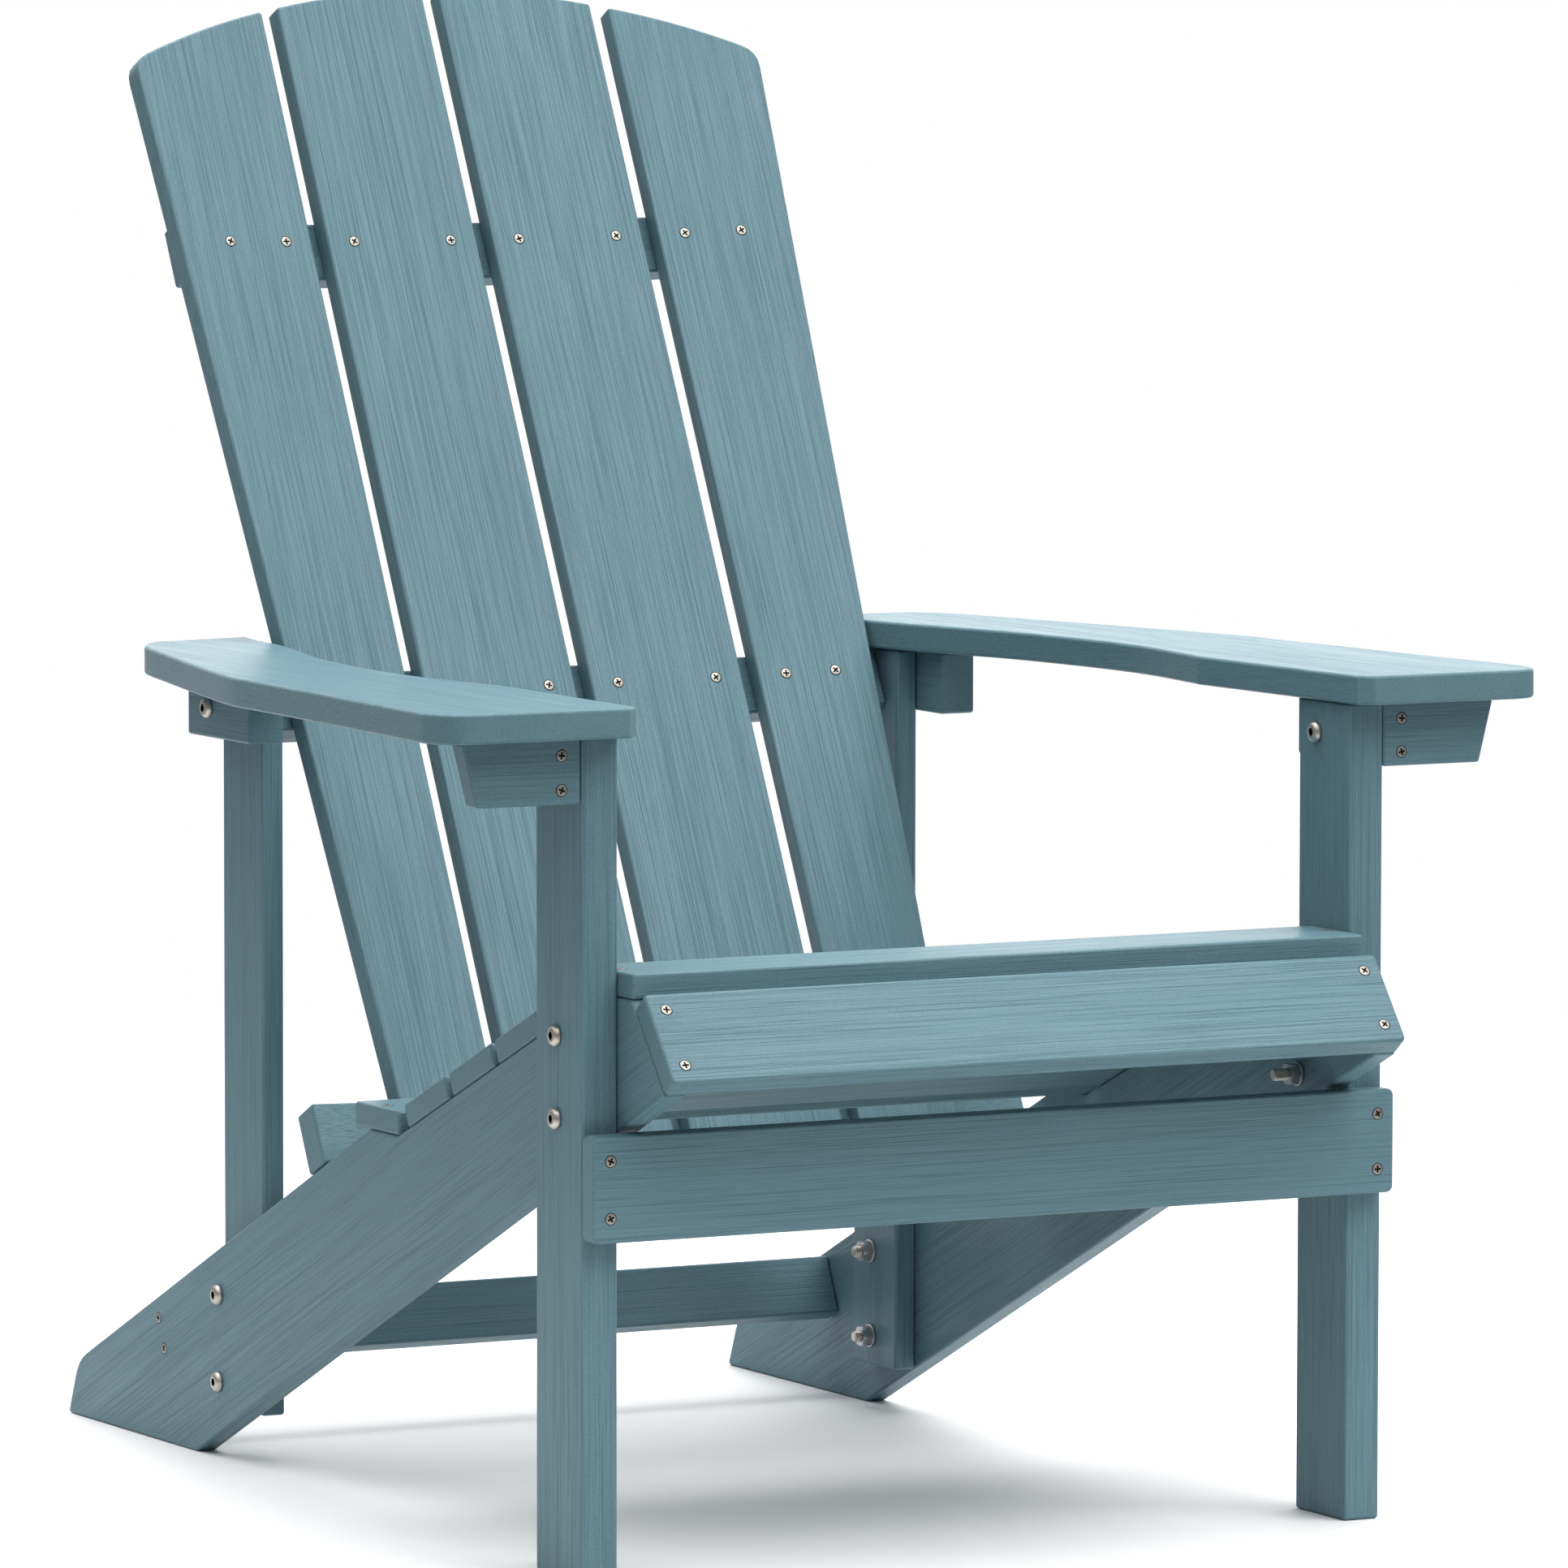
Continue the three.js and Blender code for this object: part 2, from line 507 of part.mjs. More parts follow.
/** Button-head bolt: shank down -Z, head above z = 0, hexagon socket in the head. */
function boltGeometry(length) {
  const profile = [
    [0, -length],
    [BOLT_R - 0.8, -length],
    [BOLT_R, -length + 0.8],
    [BOLT_R, 0],
    [HEAD_R, 0],
    [HEAD_R, 0.6],
    [HEAD_R * 0.84, HEAD_H * 0.65],
    [HEAD_R * 0.5, HEAD_H],
    [0, HEAD_H],
  ].map(([r, z]) => new THREE.Vector2(r, z));
  const body = new THREE.LatheGeometry(profile, ROUND_SIDES).rotateX(Math.PI / 2);
  const socket = pillar(acrossFlats(SOCKET_AF), HEAD_H - SOCKET_DEPTH, HEAD_H + 1, 6);
  return toGeometry(toSolid(body).subtract(toSolid(socket)));
}

/** Hexagon nut on its washer, seated on z = 0. */
function nutGeometry() {
  const washer = toSolid(pillar(WASHER_R, 0, WASHER_T));
  const nut = toSolid(pillar(acrossFlats(NUT_AF), WASHER_T / 2, WASHER_T + NUT_H, 6));
  const bore = toSolid(pillar(HOLE_R, -1, WASHER_T + NUT_H + 1));
  return toGeometry(washer.add(nut).subtract(bore));
}

/** Bolt along X with its head seated at headX and its tip at tipX. */
function placeBolt(name, headX, tipX, y, z) {
  const bolt = add(`bolt_${name}`, boltGeometry(Math.abs(headX - tipX)), steel());
  bolt.rotation.y = Math.sign(headX - tipX) * Math.PI / 2;
  bolt.position.set(headX, y, z);
}

/** Bolt through a stack of boards, its nut at nutX and its thread standing out by tail. */
function fasten(name, headX, nutX, y, z, tail) {
  const away = Math.sign(nutX - headX);
  placeBolt(name, headX, nutX + away * tail, y, z);
  const nut = add(`nut_${name}`, nutGeometry(), steel());
  nut.rotation.y = away * Math.PI / 2;
  nut.position.set(nutX, y, z);
}

const LEG_TAIL = 19;             // thread standing past the boards at the front legs
const POST_TAIL = 13;            // and at the rear posts
for (const [side, sign] of Object.entries(SIDES)) {
  LEG_BOLT_Z.forEach((z, i) => fasten(`leg_${['low', 'high'][i]}_${side}`,
    sign * (LEG_OUTER_X + GAP), sign * (STRINGER_IN_X - GAP), LEG_BOLT_Y, z, LEG_TAIL));
  POST_BOLT_Z.forEach((z, i) => fasten(`post_${['low', 'high'][i]}_${side}`,
    sign * (STRINGER_X + GAP), sign * (POST_IN_X - GAP), POST_BOLT_Y, z, POST_TAIL));
  fasten(`front_block_${side}`, sign * (LEG_INNER_X - GAP),
    sign * (LEG_OUTER_X + LEG_T + 2 * GAP), ...TOP_BOLT, POST_TAIL);
  placeBolt(`rear_block_${side}`, sign * (POST_X + LEG_T + 2 * GAP),
    sign * (midHalf - MID_BOLT_DEPTH), ...BLOCK_BOLT);
}

// The origin is on the floor, under the middle of the chair.
const extent = new THREE.Box3().setFromObject(chair, true);
chair.position.y = -(extent.min.y + extent.max.y) / 2;

export default chair;
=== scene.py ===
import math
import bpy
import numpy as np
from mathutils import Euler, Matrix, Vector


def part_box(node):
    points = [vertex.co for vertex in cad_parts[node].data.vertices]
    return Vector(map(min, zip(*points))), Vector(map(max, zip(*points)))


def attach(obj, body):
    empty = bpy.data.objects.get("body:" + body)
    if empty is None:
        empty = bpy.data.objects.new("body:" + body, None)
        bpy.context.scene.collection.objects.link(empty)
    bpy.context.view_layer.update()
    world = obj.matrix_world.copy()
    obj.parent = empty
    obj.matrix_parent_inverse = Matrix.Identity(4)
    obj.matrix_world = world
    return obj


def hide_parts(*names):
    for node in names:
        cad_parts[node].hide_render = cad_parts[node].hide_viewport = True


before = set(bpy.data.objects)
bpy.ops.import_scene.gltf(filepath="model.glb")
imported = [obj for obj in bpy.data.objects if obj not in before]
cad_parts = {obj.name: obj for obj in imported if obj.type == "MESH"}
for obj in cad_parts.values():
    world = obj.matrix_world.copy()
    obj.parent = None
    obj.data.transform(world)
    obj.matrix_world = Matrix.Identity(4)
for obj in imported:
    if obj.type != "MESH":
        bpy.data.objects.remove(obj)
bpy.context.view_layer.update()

# %% [markdown]
# # An adirondack chair in plastic lumber
# The chair is thirty sawn boards held by bolts and screws. The loaded frame already has every
# board at its true size and place, but with hard edges and no surface. This lesson gives each
# board the rounded edges of an extruded plank, then its brushed grain, and adds the screws.
# Units are metres. +Z is up, the chair faces -Y and X runs across its width.

rng = np.random.default_rng(7)
mm = 0.001
print("frame nodes:", len(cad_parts))

# %% [markdown]
# ## The camera
# A long lens from far away keeps the legs nearly parallel, as a catalogue view does. The camera
# stands to the left of the chair at arm height and looks a little down.

# %% Camera
CAMERA_AT = (-3.627, -6.933, 1.169)
CAMERA_YAW = 27.96
CAMERA_PITCH = 5.18
CAMERA_ROLL = -0.08
FOCAL_MM = 272.6


def place_camera():
    """Camera at CAMERA_AT, turned by yaw about the vertical, then pitched down, then rolled."""
    data = bpy.data.cameras.new("camera")
    data.sensor_width = 36
    data.lens = FOCAL_MM
    data.clip_end = 100
    camera = bpy.data.objects.new("camera", data)
    bpy.context.scene.collection.objects.link(camera)
    turn = Euler((math.radians(90 - CAMERA_PITCH), 0, math.radians(-CAMERA_YAW)))
    roll = Euler((0, 0, math.radians(-CAMERA_ROLL)))
    camera.location = CAMERA_AT
    camera.rotation_euler = (turn.to_matrix() @ roll.to_matrix()).to_euler()
    bpy.context.scene.camera = camera
    return camera


camera = place_camera()
print("camera at", tuple(camera.location))

# %% [markdown]
# ## Reading a board out of the frame
# Every board is a flat slab, so it is described by three directions: along its grain, across its
# face and through its thickness. In those directions its corners are read from the frame's
# mesh. A straight plank needs only its two ends and edges. A board cut to a shape needs its
# outline, which is followed edge by edge round the rim of the frame's mesh.

# %% Directions of each family of boards
SEAT_FALL = math.radians(22.85)
STRINGER_FALL = math.radians(24.4)
BACK_LEAN = math.radians(26.8)
BACK_BOW_R = 3.0
FASCIA_LEAN = math.radians(38.4)
ARM_FALL = math.atan(0.0062)
X, Y, Z = np.eye(3)


def turned(angle):
    """Direction in the YZ plane, raised from +Y by an angle."""
    return math.cos(angle) * Y + math.sin(angle) * Z


def across_chair(angle):
    """Grain along X; the face rises from +Y by an angle."""
    return X, turned(angle), turned(angle + math.pi / 2)


print("seat falls by", round(math.degrees(SEAT_FALL), 2), "degrees")

# %% [markdown]
# The planks that run across the chair are plain rectangles. The four middle seat slats share
# the fall of the seat, and each of the others has a lean of its own.

# %% Straight planks
STRAIGHT = {
    "seat_slat_1": across_chair(0),
    "seat_slat_2": across_chair(-SEAT_FALL),
    "seat_slat_3": across_chair(-SEAT_FALL),
    "seat_slat_4": across_chair(-SEAT_FALL),
    "seat_slat_5": across_chair(-SEAT_FALL),
    "seat_slat_6": across_chair(0),
    "fascia": across_chair(math.pi / 2 - FASCIA_LEAN),
    "apron": across_chair(math.pi / 2),
    "rear_stretcher": across_chair(math.pi / 2 - STRINGER_FALL),
}
print("straight planks:", len(STRAIGHT))

# %% [markdown]
# The other boards are sawn to an outline. The back slats stand on a wide arc, so each of them
# faces the arc's centre, and its direction is worked out from where it stands.

# %% Boards cut to a shape
UPRIGHT = (Z, Y, -X)
LEVEL = (Y, Z, X)
UP_BACK = turned(math.pi / 2 - BACK_LEAN)
OUT_OF_BACK = turned(math.pi - BACK_LEAN)
SHAPED = {}
for rail in ("upper_back_cleat", "mid_back_rail", "lower_back_rail"):
    SHAPED[rail] = (X, -OUT_OF_BACK, UP_BACK)
for side in "lr":
    SHAPED[f"front_leg_{side}"] = UPRIGHT
    SHAPED[f"rear_post_{side}"] = UPRIGHT
    SHAPED[f"front_arm_block_{side}"] = LEVEL
    SHAPED[f"rear_arm_block_{side}"] = LEVEL
    SHAPED[f"arm_bracket_{side}"] = (X, Z, -Y)
    SHAPED[f"stringer_{side}"] = (turned(-STRINGER_FALL), turned(math.pi / 2 - STRINGER_FALL), X)
    SHAPED[f"arm_{side}"] = (turned(-ARM_FALL), -X, turned(math.pi / 2 - ARM_FALL))
for number in range(1, 5):
    low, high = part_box(f"back_slat_{number}")
    swing = -math.atan((low[0] + high[0]) / 2 / BACK_BOW_R)
    facing = math.cos(swing) * OUT_OF_BACK + math.sin(swing) * X
    SHAPED[f"back_slat_{number}"] = (UP_BACK, np.cross(facing, UP_BACK), facing)
print("shaped boards:", len(SHAPED))

# %% [markdown]
# A board's corners are read in its own three directions. A plank needs only the smallest and
# largest values. A sawn shape is walked round its rim, which also works where the outline is
# hollow and sorting its corners by angle would mix them up.

# %% Corners of a board
FACE_BEVEL = 0.6 * mm
SAME_LEVEL = 0.05 * mm


def mesh_points(node):
    """All points of a frame node's mesh, as rows of x, y, z."""
    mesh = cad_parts[node].data
    points = np.empty(len(mesh.vertices) * 3)
    mesh.vertices.foreach_get("co", points)
    return points.reshape(-1, 3)


def plank_outline(node, axes):
    """Rectangle round the board, anticlockwise in (along, across)."""
    local = mesh_points(node) @ np.array(axes).T
    (a0, b0), (a1, b1) = local[:, :2].min(0), local[:, :2].max(0)
    return np.array([[a0, b0], [a1, b0], [a1, b1], [a0, b1]])


def shaped_outline(node, axes):
    """Rim of the board in (along, across), anticlockwise.

    The wall meets the bevelled face in a level ring. Its edges are the triangle sides that lie
    at that level with the rest of their triangle below, and they lead from one to the next.
    """
    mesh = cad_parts[node].data
    corner = np.empty(len(mesh.loops), dtype=int)
    mesh.loops.foreach_get("vertex_index", corner)
    local = mesh_points(node) @ np.array(axes).T
    _, first, same = np.unique(local.round(5), axis=0, return_index=True, return_inverse=True)
    points = local[first]
    triangles = same.ravel()[corner].reshape(-1, 3)
    level = points[:, 2]
    ring = level[level < level.max() - FACE_BEVEL].max()
    sides = np.concatenate([np.roll(triangles, -k, axis=1) for k in range(3)])
    height = level[sides] - ring
    at_ring = (np.abs(height[:, :2]) < SAME_LEVEL).all(1)
    edges = sides[at_ring & (height[:, 2] < -SAME_LEVEL)]
    step = dict(edges[:, :2].tolist())
    start = int(edges[np.argmax(points[edges[:, 0], 0]), 0])
    walk = [start]
    while step[walk[-1]] != start:
        walk.append(step[walk[-1]])
    rim = points[walk, :2]
    after = np.roll(rim, -1, axis=0)
    area = (rim[:, 0] * after[:, 1] - rim[:, 1] * after[:, 0]).sum()
    return rim if area > 0 else rim[::-1]


print("leg outline points:", len(shaped_outline("front_leg_l", UPRIGHT)))

# %% [markdown]
# ## A board with rounded edges
# Extruded lumber has a small round along every edge and at every sawn corner. The board is a
# stack of rings. Each ring is the outline pulled inwards by r(1 - cos t) at a height of
# r(1 - sin t) below the face, as t goes from 0 at the wall to 90 degrees at the face. Its normal
# is known from the same formula, so the shading is exact without extra geometry.


# %% Rounding the outline
def rounded(outline, radius, smooth_turn=math.radians(20), steps=5):
    """Outline with each sharp corner replaced by an arc, and the outward normal of each point.

    The arc touches both sides at radius * tan(turn / 2) from the corner. Points where the
    outline turns by less than smooth_turn belong to a curve and stay as they are.
    """
    before = outline - np.roll(outline, 1, axis=0)
    after = np.roll(outline, -1, axis=0) - outline
    reach = np.minimum(np.linalg.norm(before, axis=1), np.linalg.norm(after, axis=1)) * 0.49
    before /= np.linalg.norm(before, axis=1)[:, None]
    after /= np.linalg.norm(after, axis=1)[:, None]
    cross = before[:, 0] * after[:, 1] - before[:, 1] * after[:, 0]
    turn = np.arctan2(cross, (before * after).sum(1))
    sharp = np.abs(turn) > smooth_turn
    tangent = np.where(sharp, np.minimum(radius * np.tan(np.abs(turn) / 2), reach), 0)
    arc_radius = np.where(sharp, tangent / np.tan(np.abs(turn) / 2 + 1e-9), 0)
    normal_in = np.stack([before[:, 1], -before[:, 0]], axis=1)
    centre = outline - before * tangent[:, None] - normal_in * (arc_radius * np.sign(turn))[:, None]
    count = np.where(sharp, steps, 1)
    corner = np.repeat(np.arange(len(outline)), count)
    first = np.repeat(np.cumsum(count) - count, count)
    share = np.where(sharp[corner], (np.arange(len(corner)) - first) / (steps - 1), 0.5)
    angle = np.arctan2(normal_in[:, 1], normal_in[:, 0])[corner] + turn[corner] * share
    normal = np.stack([np.cos(angle), np.sin(angle)], axis=1)
    arc = centre[corner] + normal * (arc_radius * np.sign(turn))[corner][:, None]
    return np.where(sharp[corner][:, None], arc, outline[corner]), normal


UNIT_SQUARE = np.array([[0.0, 0.0], [1.0, 0.0], [1.0, 1.0], [0.0, 1.0]])
print("points round a rounded square:", len(rounded(UNIT_SQUARE, 0.1)[0]))

# %% [markdown]
# Neighbouring rings of points are joined by quads, and one face closes each end. Bolts, nuts
# and screws are stacks of rings too, so the same helper serves them.

# %% Faces between rings


def ring_faces(rings, around, closed_ends=True):
    """Quads between neighbouring rings, then one face over the first and one over the last."""
    ring, step = np.meshgrid(np.arange(rings - 1), np.arange(around), indexing="ij")
    a = (ring * around + step).ravel()
    b = (ring * around + (step + 1) % around).ravel()
    quads = np.stack([a, b, b + around, a + around], axis=1).tolist()
    first = np.arange(around)[::-1].tolist()
    last = (np.arange(around) + (rings - 1) * around).tolist()
    return quads + ([first, last] if closed_ends else [])


print("faces of two rings of four points:", len(ring_faces(2, 4)))

# %% [markdown]
# The board itself is one such stack, twelve rings high. Its points are stored once more as
# grain coordinates, moved by a random amount, so that no two boards show the same grain.

# %% The stack of rings
EDGE_ROUND = 2.0 * mm
CORNER_ROUND = 2.2 * mm
RINGS = 6
GRAIN_SPREAD = 9


def board_mesh(name, outline, low, high, axes, edge=EDGE_ROUND, corner=CORNER_ROUND):
    """Slab between heights low and high, its two faces joined to its wall by quarter rounds."""
    points, normals = rounded(outline, corner)
    t = np.linspace(0, math.pi / 2, RINGS)
    pull = edge * (1 - np.cos(t))
    drop = edge * (1 - np.sin(t))
    inset = np.concatenate([pull[::-1], pull])
    height = np.concatenate([low + drop[::-1], high - drop])
    lift = np.concatenate([-np.sin(t)[::-1], np.sin(t)])
    flat = np.concatenate([np.cos(t)[::-1], np.cos(t)])
    rings, around = len(inset), len(points)
    plan = points[None] - normals[None] * inset[:, None, None]
    level = np.broadcast_to(height[:, None, None], (rings, around, 1))
    local = np.concatenate([plan, level], axis=2)
    slope = np.broadcast_to(lift[:, None, None], (rings, around, 1))
    local_normal = np.concatenate([normals[None] * flat[:, None, None], slope], axis=2)
    basis = np.array(axes)
    vertices = local.reshape(-1, 3) @ basis
    vertex_normals = local_normal.reshape(-1, 3) @ basis
    faces = ring_faces(rings, around)
    mesh = bpy.data.meshes.new(name)
    mesh.from_pydata(vertices.tolist(), [], faces)
    mesh.polygons.foreach_set("use_smooth", np.ones(len(faces), dtype=bool))
    mesh.normals_split_custom_set_from_vertices(vertex_normals.tolist())
    grain = mesh.attributes.new("grain", "FLOAT_VECTOR", "POINT")
    shift = rng.uniform(-GRAIN_SPREAD, GRAIN_SPREAD, 3)
    grain.data.foreach_set("vector", (local.reshape(-1, 3) + shift).ravel())
    return mesh


print("edge round:", EDGE_ROUND / mm, "mm in", RINGS, "rings")

# %% [markdown]
# ## The lumber
# The boards are coloured through, so the colour hardly changes where they are cut. What the eye
# reads is the brushed grain: fine broken lines that run along each board, darker where they are
# deep, over faint broad bands. Each board carries its own grain coordinates, along, across and
# through, so one material serves boards that lie in every direction.

# %% [markdown]
# A material is a tree of nodes. Each of these helpers adds one node and joins it up, so that
# the materials below can be read as sums of patterns.

# %% Node helpers


def node_tree(name):
    """New material with an empty node tree."""
    material = bpy.data.materials.new(name)
    material.use_nodes = True
    material.node_tree.nodes.clear()
    return material, material.node_tree


def add_node(tree, kind, **values):
    """Adds a node; keyword names set its inputs, or its properties when it has no such input."""
    node = tree.nodes.new(kind)
    for key, value in values.items():
        label = key.replace("_", " ").title()
        if label in node.inputs:
            node.inputs[label].default_value = value
        else:
            setattr(node, key, value)
    return node


def noise(tree, where, scale, detail=3, roughness=0.55):
    """Noise pattern on a stretched set of coordinates."""
    stretch = add_node(tree, "ShaderNodeVectorMath", operation="MULTIPLY")
    tree.links.new(where, stretch.inputs[0])
    stretch.inputs[1].default_value = scale
    pattern = add_node(tree, "ShaderNodeTexNoise", scale=1, detail=detail, roughness=roughness)
    tree.links.new(stretch.outputs[0], pattern.inputs["Vector"])
    return pattern.outputs["Fac"]


def ramp(tree, value, low, high, to_low=0, to_high=1):
    """Maps low..high to to_low..to_high, held at the ends."""
    node = add_node(tree, "ShaderNodeMapRange")
    ends = {"From Min": low, "From Max": high, "To Min": to_low, "To Max": to_high}
    for key, number in ends.items():
        node.inputs[key].default_value = number
    tree.links.new(value, node.inputs["Value"])
    return node.outputs["Result"]


def combine(tree, kind, a, b):
    """One arithmetic step on two values."""
    node = add_node(tree, "ShaderNodeMath", operation=kind)
    for socket, value in zip(node.inputs, (a, b)):
        if isinstance(value, (int, float)):
            socket.default_value = value
        else:
            tree.links.new(value, socket)
    return node.outputs[0]


def mix_colour(tree, share, a, b):
    """Blend of two colours by a share."""
    node = add_node(tree, "ShaderNodeMix", data_type="RGBA")
    for socket, value in zip((node.inputs[0], node.inputs[6], node.inputs[7]), (share, a, b)):
        if isinstance(value, (int, float, tuple)):
            socket.default_value = value
        else:
            tree.links.new(value, socket)
    return node.outputs[2]


print("helpers ready:", node_tree.__name__, noise.__name__, ramp.__name__, mix_colour.__name__)

# %% [markdown]
# The grain is noise squeezed hard across the board and hardly along it, so its spots draw out
# into lines. Each scale says how often the pattern changes per metre along, across and through.

# %% Lumber material
BAND_SCALE = (2, 30, 40)
LINE_SCALE = (9, 1700, 1700)
HAIR_SCALE = (5, 800, 800)
SPECKLE_SCALE = (1000, 1000, 1000)
CUT_DARKNESS = 0.6
RELIEF_DEPTH = 0.0004
TEAL = (0.113, 0.206, 0.246, 1)
TEAL_PALE = (0.127, 0.221, 0.259, 1)
TEAL_DEEP = (0.042, 0.096, 0.122, 1)


def lumber(name):
    """Coloured plastic with brushed grain along the first grain coordinate."""
    material, tree = node_tree(name)
    where = add_node(tree, "ShaderNodeAttribute", attribute_name="grain").outputs["Vector"]
    bands = noise(tree, where, BAND_SCALE, detail=2)
    lines = noise(tree, where, LINE_SCALE, detail=2, roughness=0.6)
    hairs = noise(tree, where, HAIR_SCALE, detail=2, roughness=0.5)
    speckle = noise(tree, where, SPECKLE_SCALE, detail=2)
    thin_cuts = ramp(tree, lines, 0.5, 0.7)
    broad_cuts = ramp(tree, hairs, 0.58, 0.78, 0, 0.6)
    cut = combine(tree, "MAXIMUM", thin_cuts, broad_cuts)
    colour = mix_colour(tree, ramp(tree, bands, 0.3, 0.7), TEAL, TEAL_PALE)
    colour = mix_colour(tree, combine(tree, "MULTIPLY", cut, CUT_DARKNESS), colour, TEAL_DEEP)
    colour = mix_colour(tree, ramp(tree, speckle, 0.35, 0.72, 0, 0.3), colour, TEAL_DEEP)
    relief = combine(tree, "SUBTRACT", combine(tree, "MULTIPLY", speckle, 0.5), cut)
    bump = add_node(tree, "ShaderNodeBump", strength=0.5, distance=RELIEF_DEPTH)
    tree.links.new(relief, bump.inputs["Height"])
    shader = add_node(tree, "ShaderNodeBsdfPrincipled")
    shader.inputs["Specular IOR Level"].default_value = 0.18
    tree.links.new(colour, shader.inputs["Base Color"])
    tree.links.new(ramp(tree, lines, 0.3, 0.7, 0.34, 0.46), shader.inputs["Roughness"])
    tree.links.new(bump.outputs["Normal"], shader.inputs["Normal"])
    output = add_node(tree, "ShaderNodeOutputMaterial")
    tree.links.new(shader.outputs[0], output.inputs["Surface"])
    return material


LUMBER = lumber("brushed_lumber")
print("lumber nodes:", len(LUMBER.node_tree.nodes))

# %% [markdown]
# ## The steel
# Bolt heads, threads and screws are all stainless steel, from bright to dull. A smudge pattern
# varies the gloss, and a very fine one stands for the marks of turning. The bottoms of sockets
# and crosses and the ring round each screw head get a nearly black version: painted shade.


# %% Steel material
def steel(name, colour, roughness):
    """Stainless steel with a faint turned and smudged finish."""
    material, tree = node_tree(name)
    where = add_node(tree, "ShaderNodeTexCoord").outputs["Object"]
    smudge = noise(tree, where, (300, 300, 300), detail=2)
    fine = noise(tree, where, (4000, 4000, 900), detail=1)
    shader = add_node(tree, "ShaderNodeBsdfPrincipled", metallic=1.0)
    darker = tuple(channel * 0.8 for channel in colour[:3]) + (1,)
    tree.links.new(mix_colour(tree, smudge, colour, darker), shader.inputs["Base Color"])
    tree.links.new(ramp(tree, smudge, 0.3, 0.7, roughness, roughness + 0.12), shader.inputs["Roughness"])
    bump = add_node(tree, "ShaderNodeBump", strength=0.1, distance=0.0001)
    tree.links.new(fine, bump.inputs["Height"])
    tree.links.new(bump.outputs["Normal"], shader.inputs["Normal"])
    output = add_node(tree, "ShaderNodeOutputMaterial")
    tree.links.new(shader.outputs[0], output.inputs["Surface"])
    return material


STEEL = steel("stainless_steel", (0.52, 0.49, 0.44, 1), 0.32)
THREAD = steel("threaded_steel", (0.5, 0.5, 0.5, 1), 0.35)
SCREW_STEEL = steel("screw_steel", (0.36, 0.345, 0.31, 1), 0.4)
# nearly black steel: painted shade in sockets and crosses, painted shadow round each screw head
RECESS_PAINTED_SHADE = steel("painted_shade_steel", (0.018, 0.017, 0.015, 1), 0.7)
print("steels:", STEEL.name, THREAD.name, SCREW_STEEL.name, RECESS_PAINTED_SHADE.name)

# %% [markdown]
# ## All thirty boards
# Every board is now made at its own place and stands for the frame's plain one. The arms, the
# apron and the fascia are rounded a little more than the rest.


# %% Put the boards in the frame
def keep(mesh, material, slot, *nodes):
    """Makes a piece of a mesh; it rides with the chair and stands for the frame's nodes."""
    mesh.materials.append(material)
    piece = bpy.data.objects.new(mesh.name, mesh)
    bpy.context.scene.collection.objects.link(piece)
    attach(piece, "root")
    if nodes:
        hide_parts(*nodes)
    return piece


def make_board(node, axes, outline_of, **round_sizes):
    """Board read from a frame node, with rounded edges."""
    level = mesh_points(node) @ np.array(axes[2])
    mesh = board_mesh(
        f"{node}_board", outline_of(node, axes), level.min(), level.max(), axes, **round_sizes
    )
    return keep(mesh, LUMBER, "lumber", node)


ROUND = {
    "arm_l": {"edge": 2.2 * mm},
    "arm_r": {"edge": 2.2 * mm},
    "apron": {"corner": 4.5 * mm},
    "fascia": {"corner": 3.5 * mm, "edge": 2.4 * mm},
}
boards = []
for outline_of, family in ((plank_outline, STRAIGHT), (shaped_outline, SHAPED)):
    for node, axes in family.items():
        boards.append(make_board(node, axes, outline_of, **ROUND.get(node, {})))
print("boards:", len(boards), "faces:", sum(len(board.data.polygons) for board in boards))

# %% [markdown]
# ## Bolts
# Each bolt has a low domed head with a hexagon socket. It is a surface of revolution whose inner
# rings change from circles to the hexagon: at angle a the hexagon's radius is half its width
# across flats divided by the cosine of the angle to the nearest flat.


# %% Surfaces of revolution
def hexagon(angle):
    """Radius of a hexagon of half width one, at an angle."""
    return 1 / np.cos((angle + math.pi / 6) % (math.pi / 3) - math.pi / 6)


def ringed_mesh(radius, height, closed_ends=True):
    """Points at (r cos a, r sin a, height) for a grid of radii (rings, steps), and their faces."""
    rings, around = radius.shape
    angle = np.linspace(0, 2 * math.pi, around, endpoint=False)
    level = np.broadcast_to(height[:, None], radius.shape)
    points = np.stack([radius * np.cos(angle), radius * np.sin(angle), level], axis=2)
    return points.reshape(-1, 3), ring_faces(rings, around, closed_ends)


def placed(points, at, direction):
    """Points with their +Z turned to a direction and their origin moved to a place."""
    direction = np.asarray(direction, float) / np.linalg.norm(direction)
    side = np.cross(direction, X if abs(direction[0]) < 0.9 else Y)
    side /= np.linalg.norm(side)
    return points @ np.array([side, np.cross(direction, side), direction]) + at


print("corner of a hexagon of half width one:", round(float(hexagon(math.pi / 6)), 4))

# %% Bolts
HEAD_R = 7 * mm
HEAD_H = 4.2 * mm
HEAD_WALL = 0.7 * mm
HEAD_EDGE = 0.3 * mm
DOME_TOP_R = 3.6 * mm
SHANK_R = 4 * mm
SOCKET_HALF = 2.5 * mm
SOCKET_DEPTH = 2.5 * mm
SOCKET_END = 2.9 * mm
THREAD_LENGTH = 22 * mm
SHANK_START = 22.2 * mm
THREAD_PITCH = 1.25 * mm
THREAD_DEPTH = 0.45 * mm
TIP_LENGTH = 1.2 * mm
TIP_CUT = 0.7 * mm


